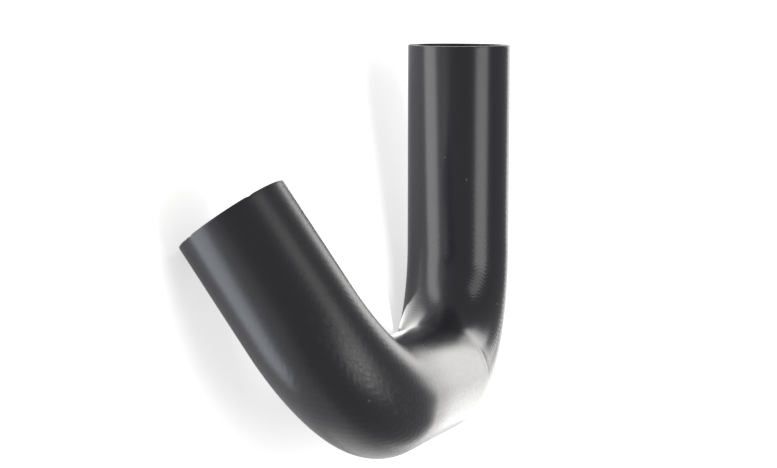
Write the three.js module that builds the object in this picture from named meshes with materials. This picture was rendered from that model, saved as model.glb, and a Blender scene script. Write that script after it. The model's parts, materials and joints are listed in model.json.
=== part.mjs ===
// Moulded coolant hose: one length of black rubber tube with two bends, which lie in different planes.
// Millimetres, +Z up. The hose lies on its side on the plane z = 0, under the middle of its bounding box,
// and its long leg runs along +X from its cut end to the first bend.

import * as THREE from "three";
import { ConvexHull } from "three/addons/math/ConvexHull.js";

// Section of the tube
const BORE = 38; // inside diameter, a push fit on a pipe stub of the same size
const WALL = 4; // rubber with its knitted reinforcement inside

// Route of the centreline, from the cut end of the long leg to the cut end of the short one
const LONG_LEG = 91;
const FIRST_BEND = 96; // degrees
const FIRST_BEND_RADIUS = 50;
const MIDDLE = 95; // straight between the bends
const TWIST = 35; // degrees from the plane of the first bend to the plane of the second
const SECOND_BEND = 87; // degrees
const SECOND_BEND_RADIUS = 40;
const SHORT_LEG = 47;

// Fineness of the surface
const SIDES = 40; // flats round the tube
const BEND_STEP = 6; // most degrees of bend between two rings
const STRAIGHT_STEP = 20; // most length between two rings on a straight

const ALONG = new THREE.Vector3(0, 0, 1); // runs along the tube in the frame of every station
const INWARDS = new THREE.Vector3(0, 1, 0); // the first bend turns to this side of the long leg
const SIDE_DOWN = new THREE.Vector3(-1, 0, 0); // the side that the second bend turns to

// The frames of a straight, as seen from its start.
function straight(length) {
  const steps = Math.ceil(length / STRAIGHT_STEP);
  return Array.from({ length: steps }, (_, i) =>
    new THREE.Matrix4().setPosition(0, 0, (length * (i + 1)) / steps),
  );
}

// The frames of a bend, as seen from its start. It turns to INWARDS, or to the side that lies at an
// angle to it round the tube. The frames turn with the bend and never spin round the tube.
function bend(angle, radius, round = 0) {
  const steps = Math.ceil(angle / BEND_STEP);
  const towards = INWARDS.clone().applyAxisAngle(ALONG, THREE.MathUtils.degToRad(round));
  const axis = ALONG.clone().cross(towards);
  return Array.from({ length: steps }, (_, i) => {
    const turn = THREE.MathUtils.degToRad((angle * (i + 1)) / steps);
    const place = towards
      .clone()
      .multiplyScalar(radius * (1 - Math.cos(turn)))
      .addScaledVector(ALONG, radius * Math.sin(turn));
    return new THREE.Matrix4().makeRotationAxis(axis, turn).setPosition(place);
  });
}

// The stations of the whole centreline: each stretch starts in the frame where the last one ends.
function route() {
  const stations = [new THREE.Matrix4()];
  const stretches = [
    straight(LONG_LEG),
    bend(FIRST_BEND, FIRST_BEND_RADIUS),
    straight(MIDDLE),
    bend(SECOND_BEND, SECOND_BEND_RADIUS, TWIST),
    straight(SHORT_LEG),
  ];
  for (const stretch of stretches) {
    const start = stations.at(-1);
    stations.push(...stretch.map((frame) => start.clone().multiply(frame)));
  }
  return stations;
}

// The corners of one ring of the tube, square to the centreline.
function ring(station, radius) {
  return Array.from({ length: SIDES }, (_, i) => {
    const turn = (2 * Math.PI * i) / SIDES;
    return new THREE.Vector3(radius * Math.cos(turn), radius * Math.sin(turn), 0).applyMatrix4(station);
  });
}

// The tube's skin is one loop of rings: along the outside, in over the cut end of the short leg,
// back along the bore, and out over the cut end of the long leg. Both cut ends are flat and square.
function tube(stations) {
  const outside = stations.map((station) => ring(station, BORE / 2 + WALL));
  const inside = stations.map((station) => ring(station, BORE / 2)).reverse();
  const loop = [...outside, ...inside];
  const faces = [];
  for (let k = 0; k < loop.length; k++) {
    for (let i = 0; i < SIDES; i++) {
      const here = k * SIDES;
      const next = ((k + 1) % loop.length) * SIDES;
      const beside = (i + 1) % SIDES;
      faces.push(here + i, here + beside, next + beside);
      faces.push(here + i, next + beside, next + i);
    }
  }
  const geometry = new THREE.BufferGeometry().setFromPoints(loop.flat());
  geometry.setIndex(faces);
  geometry.computeVertexNormals();
  return geometry;
}

function pointsOf(geometry) {
  const position = geometry.getAttribute("position");
  return Array.from({ length: position.count }, (_, i) =>
    new THREE.Vector3().fromBufferAttribute(position, i),
  );
}

// The centre of mass of the rubber. Each face closes a tetrahedron with the origin, and the volumes
// are signed, so the faces of the bore take away what is hollow.
function centreOfMass(geometry) {
  const points = pointsOf(geometry);
  const corners = geometry.getIndex().array;
  const centre = new THREE.Vector3();
  let volume = 0;
  for (let i = 0; i < corners.length; i += 3) {
    const [a, b, c] = [points[corners[i]], points[corners[i + 1]], points[corners[i + 2]]];
    const part = a.dot(b.clone().cross(c)) / 6;
    const middle = a.clone().add(b).add(c).divideScalar(4);
    centre.addScaledVector(middle, part);
    volume += part;
  }
  return centre.divideScalar(volume);
}

// The face of the convex hull that the hose comes to rest on. It is laid on one side, and rolls
// over an edge of the hull as long as its centre of mass lies beyond that edge.
function restingFace(geometry, side) {
  const hull = new ConvexHull().setFromPoints(pointsOf(geometry));
  const weight = centreOfMass(geometry);
  const aim = (face) => face.normal.dot(side);
  let face = hull.faces.reduce((best, other) => (aim(other) > aim(best) ? other : best));
  for (;;) {
    const foot = weight.clone().addScaledVector(face.normal, -face.distanceToPoint(weight));
    const beyond = [0, 1, 2].map((i) => {
      const edge = face.getEdge(i);
      const outwards = edge.head().point.clone().sub(edge.tail().point).cross(face.normal).normalize();
      return { past: foot.clone().sub(edge.tail().point).dot(outwards), next: edge.twin.face };
    });
    beyond.sort((a, b) => b.past - a.past);
    if (beyond[0].past <= 0) return face;
    face = beyond[0].next;
  }
}

// Lays the mesh down on its resting face, turns its long leg to +X and puts the middle of the
// bounding box's base at the origin.
function layDown(mesh) {
  const face = restingFace(mesh.geometry, SIDE_DOWN);
  const down = new THREE.Quaternion().setFromUnitVectors(face.normal, new THREE.Vector3(0, 0, -1));
  const leg = ALONG.clone().applyQuaternion(down);
  const heading = new THREE.Quaternion().setFromAxisAngle(
    new THREE.Vector3(0, 0, 1),
    -Math.atan2(leg.y, leg.x),
  );
  mesh.quaternion.copy(heading.multiply(down));
  mesh.updateMatrixWorld(true);
  const box = new THREE.Box3().setFromObject(mesh, true);
  const middle = box.getCenter(new THREE.Vector3());
  mesh.position.set(-middle.x, -middle.y, -box.min.z);
}

const rubber = new THREE.MeshStandardMaterial({
  name: "rubber",
  color: 0x29282b,
  roughness: 0.42,
  metalness: 0,
});

const hose = new THREE.Mesh(tube(route()), rubber);
hose.name = "hose";
layDown(hose);

const part = new THREE.Group();
part.name = "moulded_hose";
part.add(hose);

export default part;
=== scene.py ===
# %% [markdown]
# # A moulded coolant hose
# This lesson dresses one part from an engine bay: a rubber hose with two bends, cured over a bent steel
# mandrel, so that it keeps its shape. The frame gives its true size and place. Here the hose gets the fine
# surface that a look from close by needs: its rippled skin, its cut ends and its dusty satin rubber.

# %% Load the frame
import json
import math

import bpy
import numpy as np
from mathutils import Matrix, Vector


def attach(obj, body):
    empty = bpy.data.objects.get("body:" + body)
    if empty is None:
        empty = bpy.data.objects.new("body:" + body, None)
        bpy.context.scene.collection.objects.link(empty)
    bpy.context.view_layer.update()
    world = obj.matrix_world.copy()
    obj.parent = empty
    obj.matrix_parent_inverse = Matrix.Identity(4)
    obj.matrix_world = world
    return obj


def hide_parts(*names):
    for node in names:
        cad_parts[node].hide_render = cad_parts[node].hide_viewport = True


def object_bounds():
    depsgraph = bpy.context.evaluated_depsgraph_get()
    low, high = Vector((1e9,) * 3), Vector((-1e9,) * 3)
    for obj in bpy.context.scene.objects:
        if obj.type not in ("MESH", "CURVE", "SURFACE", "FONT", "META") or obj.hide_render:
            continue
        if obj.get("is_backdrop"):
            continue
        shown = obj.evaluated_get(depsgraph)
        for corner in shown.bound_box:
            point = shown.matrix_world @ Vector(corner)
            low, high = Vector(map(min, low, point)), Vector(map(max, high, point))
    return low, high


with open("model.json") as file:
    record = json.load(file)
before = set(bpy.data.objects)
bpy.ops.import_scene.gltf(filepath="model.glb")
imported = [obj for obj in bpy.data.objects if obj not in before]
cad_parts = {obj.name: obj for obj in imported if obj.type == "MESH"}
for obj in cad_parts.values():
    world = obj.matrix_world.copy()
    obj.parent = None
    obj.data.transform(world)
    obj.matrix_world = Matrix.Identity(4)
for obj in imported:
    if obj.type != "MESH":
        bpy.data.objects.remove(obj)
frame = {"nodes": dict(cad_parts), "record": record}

MM = 0.001
cad_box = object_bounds()
print("frame box, m:", [tuple(round(c, 4) for c in corner) for corner in cad_box])

# %% [markdown]
# ## The camera
# The picture shows the long leg upright, but a bent tube can't stand like that: it lies on its side. So the
# camera looks down on it and is rolled by almost a quarter turn, and the long leg still points up in the
# picture. An orientation can be built from two directions: where the camera looks, and what should be up.

# %% Camera
CAMERA_PLACE = Vector((-41.5, -761.31, 394.03)) * MM
CAMERA_TARGET = Vector((-5.12, 0.92, 37.8)) * MM
PICTURE_UP = Vector((-0.9846, 0.1104, 0.1356))
LENS = 95.7
SENSOR_WIDTH = 36.0
NEAR_CLIP, FAR_CLIP = 10 * MM, 20.0


def aimed(place, target, up_hint):
    """The matrix of a thing that stands at the place and looks at the target. Its columns are the thing's
    right, up and back, all square to each other, and its place."""
    back = (place - target).normalized()
    right = up_hint.cross(back).normalized()
    up = back.cross(right)
    turn = Matrix((right, up, back)).transposed()
    return Matrix.Translation(place) @ turn.to_4x4()


camera = bpy.data.objects.new("camera", bpy.data.cameras.new("camera"))
camera.data.lens = LENS
camera.data.sensor_width = SENSOR_WIDTH
camera.data.clip_start = NEAR_CLIP
camera.data.clip_end = FAR_CLIP
camera.matrix_world = aimed(CAMERA_PLACE, CAMERA_TARGET, PICTURE_UP)
bpy.context.scene.collection.objects.link(camera)
bpy.context.scene.camera = camera
bpy.context.scene.view_settings.view_transform = "Standard"
print("camera to target, m:", round((CAMERA_PLACE - CAMERA_TARGET).length, 3))

# %% [markdown]
# ## The route of the centreline
# A mandrel for such a hose is a steel bar with two bends. Its centreline is three straights joined by two
# arcs, so it needs only the two ends and a few lengths. The ends come from the frame: the corners of the
# solid that lie in the plane of each cut face. The lengths repeat those of the solid.

# %% Cut ends
OUTER = 23.0 * MM
BORE = 19.0 * MM
LONG_LEG = 91.0 * MM
SHORT_LEG = 47.0 * MM
FIRST_RADIUS = 50.0 * MM
SECOND_RADIUS = 40.0 * MM
FIRST_BEND = math.radians(96.0)
SECOND_BEND = math.radians(87.0)
PLANE_SLACK = 0.02 * MM
DECIMALS = 6  # corners that agree to a thousandth of a millimetre count as one


def unit(vector):
    """The vector, or each row of a stack of them, divided by its length."""
    return vector / np.linalg.norm(vector, axis=-1, keepdims=True)


def cut_end(name):
    """Centre and outward axis of a cut end: the mean of the solid's corners that lie in its plane."""
    mount = next(m for m in frame["record"]["mounts"] if m["name"] == name)
    mesh = frame["nodes"]["hose"].data
    corners = np.zeros(len(mesh.vertices) * 3)
    mesh.vertices.foreach_get("co", corners)
    corners = np.unique(corners.reshape(-1, 3).round(DECIMALS), axis=0)
    axis = unit(np.array(mount["axis"]))
    off_plane = (corners - np.array(mount["pos_m"])) @ axis
    return corners[np.abs(off_plane) < PLANE_SLACK].mean(0), axis


long_centre, long_axis = cut_end("long_end")
short_centre, short_axis = cut_end("short_end")
print("cut ends, mm:", (long_centre / MM).round(1), (short_centre / MM).round(1))

# %% [markdown]
# The straights, drawn on, meet in two corners, and each arc rounds one corner. A frame of two directions
# square to the route goes along with it and never spins round it, so the skin's lengthwise lines run true.

# %% Centreline
first_corner = long_centre - long_axis * (LONG_LEG + FIRST_RADIUS * math.tan(FIRST_BEND / 2))
second_corner = short_centre - short_axis * (SHORT_LEG + SECOND_RADIUS * math.tan(SECOND_BEND / 2))
MIDDLE = (
    np.linalg.norm(second_corner - first_corner)
    - FIRST_RADIUS * math.tan(FIRST_BEND / 2)
    - SECOND_RADIUS * math.tan(SECOND_BEND / 2)
)
directions = [-long_axis, unit(second_corner - first_corner), short_axis]
STRETCHES = [
    (LONG_LEG, 0.0),
    (FIRST_RADIUS * FIRST_BEND, FIRST_RADIUS),
    (MIDDLE, 0.0),
    (SECOND_RADIUS * SECOND_BEND, SECOND_RADIUS),
    (SHORT_LEG, 0.0),
]
ROUTE = sum(length for length, _ in STRETCHES)
ROUNDING = 1e-9  # so that a ring at the very end of a stretch still belongs to it


def turned(vector, axis, angle):
    """The vector turned about a unit axis by each angle, as rows."""
    cos, sin = np.cos(angle)[:, None], np.sin(angle)[:, None]
    return vector * cos + np.cross(axis, vector) * sin + axis * (axis @ vector) * (1 - cos)


def route_frames(along):
    """Point, tangent and two cross directions of the centreline at each length along it. On a straight the
    point moves on along the tangent, and on an arc the frame turns about the arc's axis."""
    point, tangent = long_centre, directions[0]
    across = unit(np.cross(directions[0], directions[1]))
    inward = np.cross(across, tangent)
    rows = [np.zeros((len(along), 3)) for _ in range(4)]
    start, leg = 0.0, 0
    for length, radius in STRETCHES:
        here = (along >= start - ROUNDING) & (along <= start + length + ROUNDING)
        step = along[here] - start
        if radius == 0:
            rows[0][here] = point + step[:, None] * tangent
            for row, vector in zip(rows[1:], (tangent, across, inward)):
                row[here] = vector
            point = point + length * tangent
        else:
            axis = unit(np.cross(tangent, directions[leg + 1]))
            towards = np.cross(axis, tangent)
            hub = point + radius * towards
            rows[0][here] = hub + turned(point - hub, axis, step / radius)
            for row, vector in zip(rows[1:], (tangent, across, inward)):
                row[here] = turned(vector, axis, step / radius)
            whole = np.array([length / radius])
            point = hub + turned(point - hub, axis, whole)[0]
            tangent, across, inward = (turned(v, axis, whole)[0] for v in (tangent, across, inward))
            leg += 1
        start += length
    return rows


end_point = route_frames(np.array([ROUTE]))[0][0]
closing_error = np.linalg.norm(end_point - short_centre)
print("route, mm:", round(ROUTE / MM, 1), "closing error, mm:", closing_error / MM)

# %% [markdown]
# ## The skin
# The wall holds a knitted yarn sleeve. As the hose cures, the stitches show through the cover as rows of
# faint ripples, and most of all in the bends, where the sleeve is stretched over the mandrel. The skin is
# one grid, length along the route by turn round it, with the radius as a function of both. It lies a hair
# inside the solid's surface everywhere, so the frame's box still holds it.

# %% Skin relief
COURSE = 2.7 * MM
RINGS_PER_COURSE = 4
WALES = 24
SIDES = 144
INSET = 0.08 * MM
RIPPLE = 0.02 * MM
WANDER = 0.12 * MM
WANDER_ALONG, WANDER_TWIST = 31 * MM, 47 * MM  # lengths over which the wander swells and winds round
RIM = 0.25 * MM
RIM_RINGS = 5
FIRST_ARC = LONG_LEG + FIRST_RADIUS * FIRST_BEND / 2
SECOND_ARC = ROUTE - SHORT_LEG - SECOND_RADIUS * SECOND_BEND / 2
KNIT_HILLS = [(FIRST_ARC - 8 * MM, 58 * MM), (SECOND_ARC + 8 * MM, 34 * MM)]  # middle and reach
LEAST_KNIT = 0.2
# A spot on the skin: its middle and reach along the route, then its place and spread round the tube
BRUISE = (165.5 * MM, 2.4 * MM, math.radians(158), math.radians(13))
BRUISE_DEPTH = 0.2 * MM


def hill(x, centre, width):
    """A bell curve: e to the minus square of the distance from the centre, counted in widths."""
    return np.exp(-(((x - centre) / width) ** 2))


def spot(along, turn, middle, reach, towards, spread):
    """A soft patch of skin: a bell curve along the route times one round the tube."""
    return hill(along, middle, reach) * hill(turn, towards, spread)


def knit_strength(along):
    """How plainly the stitches show: fully about the middle of each bend, little on the straights."""
    in_bend = sum(hill(along, middle, reach) for middle, reach in KNIT_HILLS)
    return LEAST_KNIT + (1 - LEAST_KNIT) * np.minimum(in_bend, 1)


def stitches(along, turn):
    """Height from -1 to 1: a cosine along the route, whose phase zigzags round the tube from wale to wale."""
    zigzag = np.abs((turn * WALES / (2 * np.pi)) % 1.0 - 0.5)
    return np.cos(2 * np.pi * (along / COURSE + zigzag))


def skin_radius(along, turn):
    """Outer radius less an inset, a slow wander of two crossed waves, the ripples, a bruise on the outside
    of the first bend and a quarter-round at each rim."""
    wander = np.sin(along / WANDER_ALONG + 2 * np.sin(turn)) * np.cos(2 * turn + along / WANDER_TWIST)
    ripple = knit_strength(along) * (stitches(along, turn) - 1)
    from_rim = np.minimum(np.minimum(along, ROUTE - along) / RIM, 1)
    rim = 1 - np.sqrt(np.maximum(1 - (1 - from_rim) ** 2, 0))
    bruise = BRUISE_DEPTH * spot(along, turn, *BRUISE)
    hollows = RIPPLE * ripple + WANDER * (wander - 1) / 2 - bruise
    return OUTER - INSET + hollows - RIM * rim


rim_steps = RIM * (1 - np.cos(np.linspace(0, np.pi / 2, RIM_RINGS)))
course_steps = np.linspace(RIM, ROUTE - RIM, int(ROUTE / COURSE * RINGS_PER_COURSE))
along = np.concatenate([rim_steps[:-1], course_steps, ROUTE - rim_steps[-2::-1]])
turn = np.arange(SIDES) * 2 * np.pi / SIDES
radius = skin_radius(along[:, None], turn[None, :])
print("rings:", len(along), "skin depth, mm:", ((OUTER - radius.max()) / MM, (OUTER - radius.min()) / MM))

# %% [markdown]
# ## The cut ends and the bore
# The cured hose is cut square with a knife, by hand. The cut wavers by a tenth of a millimetre, and where
# the blade starts and stops it leaves a nick. The wall's cut face is a flat ring between skin and bore. The
# bore is smooth, because it cured against the polished mandrel.

# %% Tube surface
BORE_RINGS = 64
FACE_RINGS = 5
CUT_WAVE = 0.06 * MM
CUT_WAVE_START = 0.7
CUT_FADE = 3 * MM
# Each nick: degrees round the tube, depth, and width in degrees
LONG_NICKS = [(40, 0.25 * MM, 2.0)]
SHORT_NICKS = [(197, 0.30 * MM, 2.5), (268, 0.40 * MM, 2.2), (276, 0.25 * MM, 1.6)]


def cut_depth(turn, nicks):
    """How far a cut lies inside the end plane: a slow wave round the tube, and a bell curve for each nick."""
    depth = CUT_WAVE * (1 - np.cos(2 * turn + CUT_WAVE_START))
    for at, deep, wide in nicks:
        depth = depth + deep * hill(turn, math.radians(at), math.radians(wide))
    return depth


long_cut = cut_depth(turn, LONG_NICKS)
short_cut = cut_depth(turn, SHORT_NICKS)


def tube_points(along, radius):
    """Point of the route + radius * (cos turn * across + sin turn * inward), drawn back from each end plane
    by the depth of the cut, which fades out along the tube."""
    point, tangent, across, inward = (row[:, None] for row in route_frames(along))
    spoke = np.cos(turn)[:, None] * across + np.sin(turn)[:, None] * inward
    near_long, near_short = (hill(along, place, CUT_FADE)[:, None] for place in (0, ROUTE))
    slide = near_long * long_cut - near_short * short_cut
    return point + radius[..., None] * spoke + slide[..., None] * tangent


def face_radii(skin_edge):
    """Radii of the rings of a cut face, evenly spaced from the skin's edge down to the bore."""
    share = np.linspace(1, 0, FACE_RINGS + 2)[1:-1, None]
    return BORE + (skin_edge - BORE) * share


bore_along = np.linspace(ROUTE, 0, BORE_RINGS)
stretches = [
    (along, radius),
    (np.full(FACE_RINGS, ROUTE), face_radii(radius[-1])),
    (bore_along, np.full((BORE_RINGS, SIDES), BORE)),
    (np.zeros(FACE_RINGS), face_radii(radius[0])[::-1]),
]
rings = np.concatenate([tube_points(*stretch) for stretch in stretches])
SKIN, CUT, INSIDE = 0, 1, 2
kinds = np.full(len(rings), SKIN)
first_cut = len(along) - 1
kinds[first_cut : first_cut + FACE_RINGS + 1] = CUT
kinds[first_cut + FACE_RINGS + 1 : -FACE_RINGS - 1] = INSIDE
kinds[-FACE_RINGS - 1 :] = CUT
print("rings in the whole loop:", len(rings), "of each kind:", np.bincount(kinds))

# %% [markdown]
# The rings form one closed loop: skin, cut face, bore, cut face. A face joins each ring to the next, and
# the last to the first, so there is no open edge. Every corner also gets a flat address in metres: length
# along the route and arc round it, or, on a cut face, depth into the wall. The materials read it.

# %% Mesh
SHARP_EDGE = math.radians(40)


def flat_addresses():
    """Two numbers per face corner. Along the skin and bore: route length and arc. On a cut: wall depth and
    arc. The arc of a face's far corners is one step on, also over the seam, so no face is smeared."""
    length = np.concatenate([stretch[0] for stretch in stretches])
    depth = np.concatenate([np.broadcast_to(r.mean(1), len(a)) for a, r in stretches]) - BORE
    arc = np.arange(SIDES) * 2 * np.pi / SIDES * OUTER
    step = 2 * np.pi / SIDES * OUTER
    this = np.where(kinds == CUT, depth, length)
    following = np.where(kinds == CUT, np.roll(depth, -1), np.roll(length, -1))
    u = np.stack([this, this, following, following], -1)[:, None, :].repeat(SIDES, 1)
    v = np.stack([arc, arc + step, arc + step, arc], -1)[None].repeat(len(rings), 0)
    return np.stack([u, v], -1)


def loop_mesh(name, rings, kinds):
    """A closed mesh from a loop of rings, with quads wound so that they face out of the wall. The kind of a
    ring is the material of the quads that follow it."""
    count, sides, _ = rings.shape
    here = np.arange(count)[:, None] * sides
    beyond = np.roll(here, -1, axis=0)
    side = np.arange(sides)[None, :]
    beside = np.roll(side, -1, axis=1)
    corners = np.stack([here + side, here + beside, beyond + beside, beyond + side], -1)
    mesh = bpy.data.meshes.new(name)
    mesh.vertices.add(count * sides)
    mesh.vertices.foreach_set("co", rings.ravel())
    mesh.loops.add(corners.size)
    mesh.loops.foreach_set("vertex_index", corners.ravel())
    mesh.polygons.add(count * sides)
    mesh.polygons.foreach_set("loop_start", np.arange(count * sides) * 4)
    mesh.polygons.foreach_set("material_index", np.repeat(kinds, sides))
    mesh.update(calc_edges=True)
    mesh.shade_smooth()
    mesh.set_sharp_from_angle(angle=SHARP_EDGE)
    return mesh


mesh = loop_mesh("hose_wall", rings, kinds)
mesh.uv_layers.new(name="address").data.foreach_set("uv", flat_addresses().ravel())
hose = bpy.data.objects.new("hose_wall", mesh)
bpy.context.scene.collection.objects.link(hose)
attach(hose, "root")
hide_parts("hose")
print("triangles:", 2 * len(mesh.polygons), "repairs needed:", mesh.validate())

# %% [markdown]
# ## Where the skin is worn
# Three numbers are painted on the corners of the mesh: how plainly the knit shows, most of all where the
# second bend is stretched furthest; where the skin was rubbed and scuffed, on the outside of that bend; and
# how dull the skin is, which grows towards the short end, by which the hose is pulled off its mandrel. They
# could be drawn by brush, but a formula puts them in the same place on a hose of any fineness.

# %% Painted masks
RUBBED_SPOT = (308 * MM, 20 * MM, math.radians(200), math.radians(13))
STRETCHED_SPOT = (288 * MM, 12 * MM, math.radians(209), math.radians(16))
STRETCHED_KNIT = 1.3
DULL_FROM, DULL_OVER = 255 * MM, 7.5 * MM


def rise(x, start, width):
    """A smooth step from 0 to 1 about the start: 1 over 1 plus an exponential that falls with x."""
    return 1 / (1 + np.exp((start - x) / width))


length = np.concatenate([stretch[0] for stretch in stretches])[:, None]
rubbed = spot(length, turn, *RUBBED_SPOT)
plain_knit = knit_strength(length) + STRETCHED_KNIT * spot(length, turn, *STRETCHED_SPOT)
dull_skin = np.repeat(rise(length, DULL_FROM, DULL_OVER), SIDES, axis=1)
for name, values in (("knit", plain_knit), ("rubbed", rubbed), ("dull", dull_skin)):
    mask = mesh.attributes.new(name, "FLOAT", "POINT")
    mask.data.foreach_set("value", values.astype(np.float32).ravel())
print("rubbed corners:", int((rubbed > 0.5).sum()), "dull corners:", int((dull_skin > 0.5).sum()))

# %% [markdown]
# ## Patterns of the rubber
# Each pattern is a small node group that reads the flat address and gives plain values. A picture would do
# too, but it blurs from close by, and noise on the address stays sharp. The knit is the same zigzag wave as
# in the mesh, broken into short dashes. The grain is the faint mottle that talc from the moulding shop
# leaves, with a few pale specks of it, and scuffs for the rubbed place. The crazing is a net of tiny cracks.

# %% Pattern tools
WALE = 2 * math.pi * OUTER / WALES


def new_group(name, inputs, outputs):
    """An empty shader group with the named sockets, each given as name and type."""
    tree = bpy.data.node_groups.new(name, "ShaderNodeTree")
    for way, sockets in (("INPUT", inputs), ("OUTPUT", outputs)):
        for socket, kind in sockets:
            tree.interface.new_socket(socket, in_out=way, socket_type=kind)
    return tree, tree.nodes.new("NodeGroupInput").outputs, tree.nodes.new("NodeGroupOutput").inputs


def maths(tree, operation, *values):
    """A maths node fed with sockets or plain numbers. Returns its result."""
    node = tree.nodes.new("ShaderNodeMath")
    node.operation = operation
    for socket, value in zip(node.inputs, values):
        if isinstance(value, (int, float)):
            socket.default_value = value
        else:
            tree.links.new(value, socket)
    return node.outputs[0]


def noise(tree, place, scale, detail=2.0):
    """Smooth noise from 0 to 1 at a place, with features about one over the scale in size."""
    node = tree.nodes.new("ShaderNodeTexNoise")
    node.inputs["Scale"].default_value = scale
    node.inputs["Detail"].default_value = detail
    tree.links.new(place, node.inputs["Vector"])
    return node.outputs["Fac"]


def peaks(tree, value, level, gain):
    """How far the value stands above a level, times a gain, and nothing where it lies below."""
    above = maths(tree, "SUBTRACT", value, level)
    return maths(tree, "MAXIMUM", maths(tree, "MULTIPLY", above, gain), 0.0)


print("course and wale, mm:", round(COURSE / MM, 2), round(WALE / MM, 2))

# %% [markdown]
# The scales are numbers of features to the metre. A peak has a level, below which it leaves nothing, and a
# gain: a high level makes it rare, and a high gain gives it a hard edge.

# %% Pattern groups
KNIT_PATCHES = 90.0
KNIT_EVENNESS = 0.3
GRAIN_SCALE, GRAIN_DETAIL = 700.0, 4.0
SPECK_SCALE, SPECK_LEVEL, SPECK_GAIN = 420.0, 0.83, 12.0
SCUFF_SCALE, SCUFF_DETAIL, SCUFF_LEVEL, SCUFF_GAIN = 330.0, 3.0, 0.56, 5.0
CELL_SCALE, CRACK_GAIN = 650.0, 6.0
ADDRESS = [("Address", "NodeSocketVector")]


def knit_group():
    """Height of the stitches: cos(2 pi * (along / course + zigzag)), strongest down the middle of a wale."""
    tree, given, result = new_group("knit_height", ADDRESS, [("Height", "NodeSocketFloat")])
    split = tree.nodes.new("ShaderNodeSeparateXYZ")
    tree.links.new(given["Address"], split.inputs[0])
    across = maths(tree, "PINGPONG", maths(tree, "DIVIDE", split.outputs["Y"], WALE), 0.5)
    phase = maths(tree, "ADD", maths(tree, "DIVIDE", split.outputs["X"], COURSE), across)
    wave = maths(tree, "COSINE", maths(tree, "MULTIPLY", phase, 2 * math.pi))
    dash = maths(tree, "SINE", maths(tree, "MULTIPLY", across, 2 * math.pi))
    uneven = maths(tree, "ADD", noise(tree, given["Address"], KNIT_PATCHES), KNIT_EVENNESS)
    tree.links.new(maths(tree, "MULTIPLY", maths(tree, "MULTIPLY", wave, dash), uneven), result["Height"])
    return tree


def grain_group():
    """Grain: fine even mottle. Specks: rare pale grains of dust, where a fine noise peaks. Scuffs: small
    pale flecks close together, where a coarser noise peaks."""
    tree, given, result = new_group(
        "skin_grain",
        ADDRESS,
        [("Grain", "NodeSocketFloat"), ("Specks", "NodeSocketFloat"), ("Scuffs", "NodeSocketFloat")],
    )
    tree.links.new(noise(tree, given["Address"], GRAIN_SCALE, GRAIN_DETAIL), result["Grain"])
    dust = noise(tree, given["Address"], SPECK_SCALE, 0.0)
    tree.links.new(peaks(tree, dust, SPECK_LEVEL, SPECK_GAIN), result["Specks"])
    flecks = noise(tree, given["Address"], SCUFF_SCALE, SCUFF_DETAIL)
    tree.links.new(peaks(tree, flecks, SCUFF_LEVEL, SCUFF_GAIN), result["Scuffs"])
    return tree


def craze_group():
    """Crazing: one less a multiple of the distance to the nearest edge of a cell pattern, so 1 in the
    cracks between the cells and 0 inside them."""
    tree, given, result = new_group("crazing", ADDRESS, [("Cracks", "NodeSocketFloat")])
    cells = tree.nodes.new("ShaderNodeTexVoronoi")
    cells.feature = "DISTANCE_TO_EDGE"
    cells.inputs["Scale"].default_value = CELL_SCALE
    tree.links.new(given["Address"], cells.inputs["Vector"])
    near = maths(tree, "SUBTRACT", 1.0, maths(tree, "MULTIPLY", cells.outputs["Distance"], CRACK_GAIN))
    tree.links.new(maths(tree, "MAXIMUM", near, 0.0), result["Cracks"])
    return tree


knit_pattern, grain_pattern, craze_pattern = knit_group(), grain_group(), craze_group()
print("groups:", [tree.name for tree in (knit_pattern, grain_pattern, craze_pattern)])

# %% [markdown]
# ## Three faces of one rubber
# A material is a few shader nodes and the links between them. Written out one by one they would hide what
# is meant, so five helpers come first: a plain material, the flat address, a painted mask, a pattern and a
# tint. One more adds values up, each times its weight.

# %% Material tools


def new_material(name, base, roughness):
    """A material with a Principled shader of plain values. Returns it, its tree and the shader's inputs."""
    material = bpy.data.materials.new(name)
    material.use_nodes = True
    shader = material.node_tree.nodes["Principled BSDF"]
    shader.inputs["Base Color"].default_value = (*base, 1)
    shader.inputs["Roughness"].default_value = roughness
    return material, material.node_tree, shader.inputs


def address(tree):
    """The flat address of the point being shaded."""
    node = tree.nodes.new("ShaderNodeUVMap")
    node.uv_map = "address"
    return node.outputs["UV"]


def painted(tree, name):
    """The value of a painted mask."""
    node = tree.nodes.new("ShaderNodeAttribute")
    node.attribute_name = name
    return node.outputs["Fac"]


def pattern(tree, group, place):
    """The outputs of a pattern group at a place."""
    node = tree.nodes.new("ShaderNodeGroup")
    node.node_tree = group
    tree.links.new(place, node.inputs["Address"])
    return node.outputs


def tint(tree, mask, base, over):
    """The base colour, mixed towards another by a mask."""
    node = tree.nodes.new("ShaderNodeMix")
    node.data_type = "RGBA"
    node.inputs["A"].default_value = (*base, 1)
    node.inputs["B"].default_value = (*over, 1)
    tree.links.new(mask, node.inputs["Factor"])
    return node.outputs["Result"]


def weighted_sum(tree, *terms):
    """The sum of values, each times its weight."""
    total = 0.0
    for value, weight in terms:
        total = maths(tree, "MULTIPLY_ADD", value, weight, total)
    return total


print("painted masks at hand:", [name for name in ("knit", "rubbed", "dull") if name in mesh.attributes])

# %% [markdown]
# The skin is a satin black with a trace of blue. Talc pales its specks and scuffs, and a little of it sits
# in the cracks. The grain, the cracks and the dull end make it rougher, so that its highlights spread. The
# stitches, the cracks and the grain also bend the light through a bump, far finer than the mesh.

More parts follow.
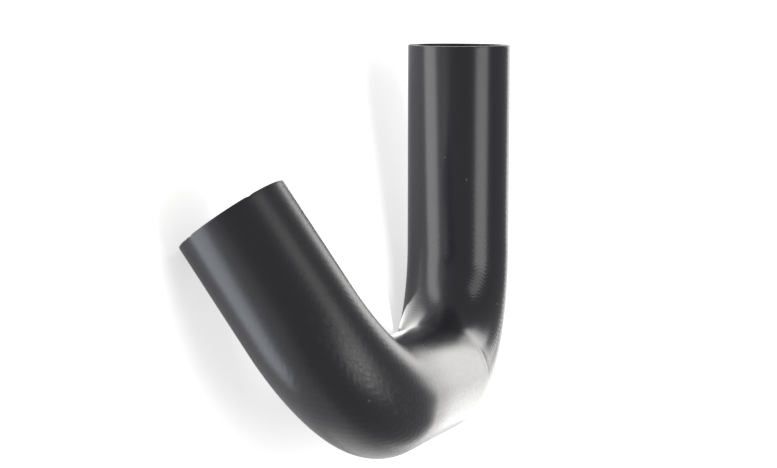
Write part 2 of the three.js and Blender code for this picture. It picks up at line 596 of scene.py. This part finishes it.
# %% Skin material
BLACK = (0.019, 0.018, 0.023)
DUST = (0.17, 0.145, 0.115)
SPECK_DUST, CRACK_DUST, SCUFF_DUST = 0.4, 0.06, 0.45
SATIN = 0.15
GRAIN_DULLING, CRACK_DULLING, END_DULLING = 0.16, 0.15, 0.10
STITCH_HEIGHT, CRACK_DEPTH, GRAIN_HEIGHT = 0.020 * MM, 0.008 * MM, 0.010 * MM
SKIN_ROUGHNESS = 0.22  # for a viewer that can't follow the link to the socket
skin_material, tree, shader = new_material("rubber_skin", BLACK, SKIN_ROUGHNESS)
place = address(tree)
grain = pattern(tree, grain_pattern, place)
cracks = maths(tree, "MULTIPLY", pattern(tree, craze_pattern, place)["Cracks"], painted(tree, "rubbed"))
stitch = maths(tree, "MULTIPLY", pattern(tree, knit_pattern, place)["Height"], painted(tree, "knit"))
scuffs = maths(tree, "MULTIPLY", grain["Scuffs"], painted(tree, "rubbed"))
dusty = weighted_sum(tree, (grain["Specks"], SPECK_DUST), (cracks, CRACK_DUST), (scuffs, SCUFF_DUST))
tree.links.new(tint(tree, dusty, BLACK, DUST), shader["Base Color"])
dull = weighted_sum(
    tree, (grain["Grain"], GRAIN_DULLING), (cracks, CRACK_DULLING), (painted(tree, "dull"), END_DULLING)
)
tree.links.new(maths(tree, "ADD", dull, SATIN), shader["Roughness"])
relief = weighted_sum(tree, (stitch, STITCH_HEIGHT), (cracks, -CRACK_DEPTH), (grain["Grain"], GRAIN_HEIGHT))
bump = tree.nodes.new("ShaderNodeBump")
bump.inputs["Distance"].default_value = 1.0
tree.links.new(relief, bump.inputs["Height"])
tree.links.new(bump.outputs["Normal"], shader["Normal"])
print("stitches as relief and as bump, mm:", 2 * RIPPLE / MM, STITCH_HEIGHT / MM)

# %% [markdown]
# The knife leaves the cut faces duller and greyer, with the yarn's ends as a row of paler dots in the middle
# of the wall. There the flat address holds the depth into the wall, so the dots are a cosine round the tube
# less a parabola across the wall. The bore is plain.

# %% Cut and bore materials
CUT_BLACK = (0.060, 0.058, 0.054)
YARN = (0.24, 0.225, 0.20)
CUT_ROUGHNESS = 0.55
BORE_ROUGHNESS = 0.4
WALL_MIDDLE = (OUTER - BORE) / 2
YARN_BAND = 0.5 * MM
YARN_ENDS = 2 * WALES
cut_material, tree, shader = new_material("rubber_cut", CUT_BLACK, CUT_ROUGHNESS)
split = tree.nodes.new("ShaderNodeSeparateXYZ")
tree.links.new(address(tree), split.inputs[0])
in_wall = maths(tree, "DIVIDE", maths(tree, "SUBTRACT", split.outputs["X"], WALL_MIDDLE), YARN_BAND)
in_row = maths(tree, "COSINE", maths(tree, "MULTIPLY", split.outputs["Y"], YARN_ENDS / OUTER))
dots = maths(tree, "SUBTRACT", in_row, maths(tree, "MULTIPLY", in_wall, in_wall))
tree.links.new(tint(tree, maths(tree, "MAXIMUM", dots, 0.0), CUT_BLACK, YARN), shader["Base Color"])

bore_material, _, _ = new_material("rubber_bore", BLACK, BORE_ROUGHNESS)
for material in (skin_material, cut_material, bore_material):
    mesh.materials.append(material)
print("materials:", [material.name for material in mesh.materials])

# %% [markdown]
# ## The table
# The hose lies on a wide sheet of white paper. Seen by the camera, and mirrored in the rubber, the paper
# also glows a little, as on a light table: that lifts the sheet to white and leaves the hose its shadow.
# For the camera alone the glow is a little stronger, so that the shadow is as faint as in a studio.

# %% Table
SHEET = 8.0
PAPER = (0.8, 0.8, 0.8)
PAPER_ROUGHNESS = 0.9
GLOW = 0.3
CAMERA_LIFT = 0.35
corner_list = [(-SHEET, -SHEET, 0), (SHEET, -SHEET, 0), (SHEET, SHEET, 0), (-SHEET, SHEET, 0)]
sheet_mesh = bpy.data.meshes.new("paper_sheet")
sheet_mesh.from_pydata(corner_list, [], [(0, 1, 2, 3)])
sheet = bpy.data.objects.new("paper_sheet", sheet_mesh)
bpy.context.scene.collection.objects.link(sheet)
paper, tree, shader = new_material("paper", PAPER, PAPER_ROUGHNESS)
light_path = tree.nodes.new("ShaderNodeLightPath").outputs
seen = maths(tree, "MAXIMUM", light_path["Is Camera Ray"], light_path["Is Glossy Ray"])
seen = maths(tree, "MAXIMUM", seen, light_path["Is Transmission Ray"])
glow = weighted_sum(tree, (seen, GLOW), (light_path["Is Camera Ray"], CAMERA_LIFT))
shader["Emission Color"].default_value = (1, 1, 1, 1)
tree.links.new(glow, shader["Emission Strength"])
sheet_mesh.materials.append(paper)
sheet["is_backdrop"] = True
print("side of the paper sheet, m:", 2 * SHEET)

# %% [markdown]
# ## The lamps
# Black rubber shows little but the mirror images of its lamps, so their places matter more than their
# strength. Each lamp was placed by asking where a ray from the camera goes after it meets the skin. Two
# softboxes overhead draw one streak down each leg. Narrow panes of the light table glow beside the legs and
# draw the other streaks, one more lights the second bend from below, and a low strip stands in the crook of
# the first bend. The camera sees the middle stretch at a grazing angle, so it mirrors what stands behind:
# the lit table there, and three softboxes that rise to the left. The rest of the room is dim. All of it
# together lights the table at about the level at which a colour looks as it is written.

# %% Lamps
ROOM = 0.35
DOWN, UP, FORWARD = Vector((0, 0, -1)), Vector((0, 0, 1)), Vector((0, -1, 0))
# Each lamp: its place, the way that it faces, its two sides, its radiance and its colour
LAMPS = {
    "overhead_long": ((0.28, -0.17, 0.85), DOWN, (0.54, 0.46), 3.5, (1.0, 1.0, 1.0)),
    "overhead_short": ((-0.28, -0.10, 0.85), DOWN, (0.56, 0.34), 2.1, (1.0, 0.98, 0.95)),
    "pane_between": ((-0.038, 0.033, 0.002), UP, (0.16, 0.046), 3.4, (1.0, 1.0, 0.99)),
    "strip_in_bend": ((0.024, 0.070, 0.0045), FORWARD, (0.032, 0.008), 2.8, (1.0, 1.0, 0.97)),
    "pane_beside": ((0.015, -0.138, 0.002), UP, (0.13, 0.034), 3.3, (0.86, 0.93, 1.0)),
    "pane_below": ((0.17, 0.03, 0.002), UP, (0.12, 0.22), 0.6, (1.0, 1.0, 0.99)),
    "behind_low": ((0.0, 0.90, 0.08), FORWARD, (0.80, 0.16), 1.8, (1.0, 0.99, 0.96)),
    "behind_middle": ((0.05, 0.90, 0.23), FORWARD, (0.24, 0.13), 3.0, (1.0, 0.99, 0.97)),
    "behind_high": ((-0.255, 0.90, 0.325), FORWARD, (0.37, 0.41), 3.6, (1.0, 0.99, 0.97)),
    "behind_table": ((0.0, 0.475, 0.002), UP, (0.90, 0.65), 1.8, (1.0, 0.99, 0.96)),
}


def add_lamp(name, place, facing, size, radiance, colour):
    """A rectangular lamp, its first side along X. Its power is pi * area * radiance."""
    data = bpy.data.lights.new(name, "AREA")
    data.shape = "RECTANGLE"
    data.size, data.size_y = size
    data.energy = math.pi * size[0] * size[1] * radiance
    data.color = colour
    lamp = bpy.data.objects.new(name, data)
    up_hint = UP if facing == FORWARD else Vector((0, 1, 0))
    lamp.matrix_world = aimed(Vector(place), Vector(place) + facing, up_hint)
    bpy.context.scene.collection.objects.link(lamp)
    return data.energy


world = bpy.data.worlds.new("room")
world.use_nodes = True
world.node_tree.nodes["Background"].inputs["Color"].default_value = (ROOM, ROOM, ROOM, 1)
bpy.context.scene.world = world
print("lamp power, W:", {name: round(add_lamp(name, *lamp), 2) for name, lamp in LAMPS.items()})

# %% [markdown]
# ## Size
# The dressed hose must fill the frame's box and no more, so both boxes are measured, and how far the new one
# reaches beyond the old is printed.

# %% Sizes
new_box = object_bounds()
below = max(old - new for old, new in zip(cad_box[0], new_box[0]))
above = max(new - old for old, new in zip(cad_box[1], new_box[1]))
print("beyond the frame's box, mm:", round(below / MM, 3), round(above / MM, 3))
